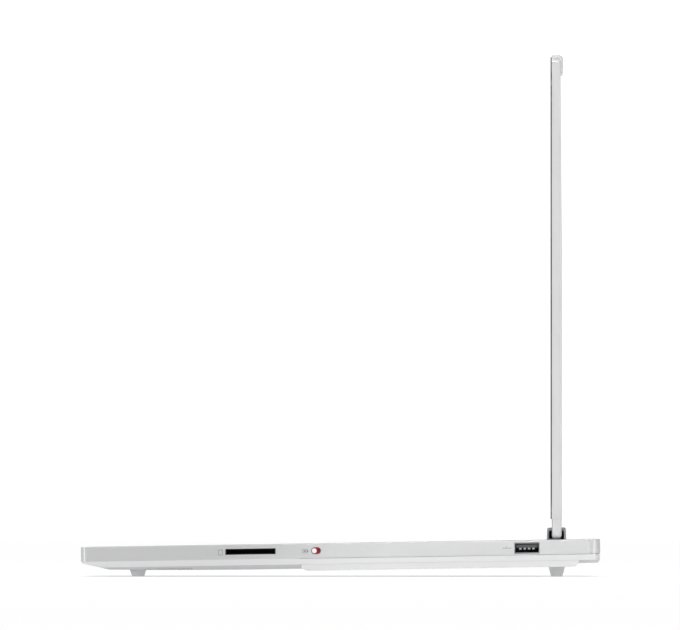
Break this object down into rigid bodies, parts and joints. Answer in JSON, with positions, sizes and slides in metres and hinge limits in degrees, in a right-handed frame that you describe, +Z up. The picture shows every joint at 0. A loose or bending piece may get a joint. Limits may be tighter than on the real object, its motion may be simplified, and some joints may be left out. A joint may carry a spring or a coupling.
{
  "type": "laptop computer",
  "caption": "Clamshell laptop computer with full keyboard, touchpad, side ports, cooled interior and a thin lid that opens flat; camera housing stands above the lid edge",
  "frame": {"origin": "centre of the bounding box's underside, on the table plane under the feet, lid standing at a right angle to the table", "axes": "+X is the computer's right side as its user sees it, -Y is its front edge, +Y its rear, +Z up"},
  "size_m": [0.364, 0.276, 0.2796],
  "materials": {
    "shell": "fine satin, near white",
    "hinge_grey": "satin grey",
    "grey_plastic": "matte",
    "black_plastic": "matte",
    "key_plastic": "matte, slightly textured",
    "key_frame": "matte",
    "touch_glass": "smooth satin",
    "screen_glass": "dark screen, switched off",
    "steel": "stamped, brushed",
    "port_metal": "nickel plated",
    "copper": "bare copper",
    "fin_metal": "thin bare fins",
    "circuit_board": "solder mask",
    "silicon": "package with die",
    "battery_wrap": "black wrap",
    "fan_plastic": "moulded",
    "foot_rubber": "light grey",
    "red_plastic": "moulded red",
    "white_plastic": "smooth",
    "cable_film": "flat cable"
  },
  "bodies": {
    "base": {"audio_jack": "black_plastic", "battery_pack": "battery_wrap", "bottom_cover": "shell", "bottom_screws": "steel", "camera_switch_housing": "red_plastic", "card_reader_slot": "black_plastic", "fin_stacks": "fin_metal", "front_foot": "foot_rubber", "hdmi_port": "port_metal", "heat_pipes": "copper", "keyboard_frame": "key_frame", "keyboard_plate": "steel", "left_fan_housing": "black_plastic", "left_hinge_bracket": "steel", "left_hinge_tower": "hinge_grey", "left_speaker": "black_plastic", "memory_modules": "circuit_board", "motherboard": "circuit_board", "power_inlet": "black_plastic", "processor_chips": "silicon", "rear_foot": "foot_rubber", "rear_grille": "grey_plastic", "right_fan_housing": "black_plastic", "right_hinge_bracket": "steel", "right_hinge_tower": "hinge_grey", "right_speaker": "black_plastic", "solid_state_drives": "circuit_board", "top_case": "shell", "touchpad_board": "steel", "usb_a_port_left": "port_metal", "usb_a_port_right": "port_metal", "usb_c_ports": "port_metal", "wireless_card": "circuit_board"},
    "lid": {"lid_cover": "shell", "lid_strip": "shell", "screen_bezel": "black_plastic", "display_panel": "screen_glass", "camera_module": "black_plastic", "display_cable": "cable_film", "wireless_antennas": "copper", "left_hinge_arm": "steel", "right_hinge_arm": "steel"},
    "left_fan_rotor_body": {"left_fan_rotor": "fan_plastic"},
    "right_fan_rotor_body": {"right_fan_rotor": "fan_plastic"},
    "touchpad_body": {"touchpad": "touch_glass"},
    "power_button_body": {"power_button": "shell"},
    "camera_switch_knob_body": {"camera_switch_knob": "white_plastic"},
    "function_row_keys_body": {"function_row_keys": "key_plastic"},
    "number_row_keys_body": {"number_row_keys": "key_plastic"},
    "backspace_key_body": {"backspace_key": "key_plastic"},
    "upper_row_keys_body": {"upper_row_keys": "key_plastic"},
    "home_row_keys_body": {"home_row_keys": "key_plastic"},
    "enter_key_body": {"enter_key": "key_plastic"},
    "lower_row_keys_body": {"lower_row_keys": "key_plastic"},
    "left_modifier_keys_body": {"left_modifier_keys": "key_plastic"},
    "space_bar_body": {"space_bar": "key_plastic"},
    "right_modifier_keys_body": {"right_modifier_keys": "key_plastic"},
    "arrow_keys_body": {"arrow_keys": "key_plastic"},
    "numpad_keys_body": {"numpad_keys": "key_plastic"}
  },
  "joints": [
    {"name": "lid_hinge", "type": "hinge", "parent": "base", "child": "lid", "pos_m": [0, 0.11477, 0.02309], "axis": [1, 0, 0], "range_deg": [-89, 90.9]},
    {"name": "left_fan_spin", "type": "hinge", "parent": "base", "child": "left_fan_rotor_body", "pos_m": [-0.112, 0.06508, 0.00951], "axis": [0, -0.0158, 0.9999], "continuous": true},
    {"name": "right_fan_spin", "type": "hinge", "parent": "base", "child": "right_fan_rotor_body", "pos_m": [0.112, 0.06508, 0.00951], "axis": [0, -0.0158, 0.9999], "continuous": true},
    {"name": "touchpad_click", "type": "hinge", "parent": "base", "child": "touchpad_body", "pos_m": [-0.03, -0.0404, 0.01644], "axis": [1, 0, 0], "range_deg": [0, 0.45], "stiffness_Nm_per_rad": 3, "springref_deg": -1.15},
    {"name": "power_button_press", "type": "slide", "parent": "base", "child": "power_button_body", "axis": [0, -0.0158, 0.9999], "range_m": [-0.0008, 0], "stiffness_N_per_m": 400, "springref_m": 0.001},
    {"name": "camera_switch_slide", "type": "slide", "parent": "base", "child": "camera_switch_knob_body", "axis": [0, 0.9999, 0.0158], "range_m": [0, 0.0022]},
    {"name": "function_row_keys_press", "type": "slide", "parent": "base", "child": "function_row_keys_body", "axis": [0, -0.0158, 0.9999], "range_m": [-0.0015, 0], "stiffness_N_per_m": 300, "springref_m": 0.001},
    {"name": "number_row_keys_press", "type": "slide", "parent": "base", "child": "number_row_keys_body", "axis": [0, -0.0158, 0.9999], "range_m": [-0.0015, 0], "stiffness_N_per_m": 300, "springref_m": 0.001},
    {"name": "backspace_key_press", "type": "slide", "parent": "base", "child": "backspace_key_body", "axis": [0, -0.0158, 0.9999], "range_m": [-0.0015, 0], "stiffness_N_per_m": 300, "springref_m": 0.001},
    {"name": "upper_row_keys_press", "type": "slide", "parent": "base", "child": "upper_row_keys_body", "axis": [0, -0.0158, 0.9999], "range_m": [-0.0015, 0], "stiffness_N_per_m": 300, "springref_m": 0.001},
    {"name": "home_row_keys_press", "type": "slide", "parent": "base", "child": "home_row_keys_body", "axis": [0, -0.0158, 0.9999], "range_m": [-0.0015, 0], "stiffness_N_per_m": 300, "springref_m": 0.001},
    {"name": "enter_key_press", "type": "slide", "parent": "base", "child": "enter_key_body", "axis": [0, -0.0158, 0.9999], "range_m": [-0.0015, 0], "stiffness_N_per_m": 300, "springref_m": 0.001},
    {"name": "lower_row_keys_press", "type": "slide", "parent": "base", "child": "lower_row_keys_body", "axis": [0, -0.0158, 0.9999], "range_m": [-0.0015, 0], "stiffness_N_per_m": 300, "springref_m": 0.001},
    {"name": "left_modifier_keys_press", "type": "slide", "parent": "base", "child": "left_modifier_keys_body", "axis": [0, -0.0158, 0.9999], "range_m": [-0.0015, 0], "stiffness_N_per_m": 300, "springref_m": 0.001},
    {"name": "space_bar_press", "type": "slide", "parent": "base", "child": "space_bar_body", "axis": [0, -0.0158, 0.9999], "range_m": [-0.0015, 0], "stiffness_N_per_m": 300, "springref_m": 0.001},
    {"name": "right_modifier_keys_press", "type": "slide", "parent": "base", "child": "right_modifier_keys_body", "axis": [0, -0.0158, 0.9999], "range_m": [-0.0015, 0], "stiffness_N_per_m": 300, "springref_m": 0.001},
    {"name": "arrow_keys_press", "type": "slide", "parent": "base", "child": "arrow_keys_body", "axis": [0, -0.0158, 0.9999], "range_m": [-0.0015, 0], "stiffness_N_per_m": 300, "springref_m": 0.001},
    {"name": "numpad_keys_press", "type": "slide", "parent": "base", "child": "numpad_keys_body", "axis": [0, -0.0158, 0.9999], "range_m": [-0.0015, 0], "stiffness_N_per_m": 300, "springref_m": 0.001}
  ]
}
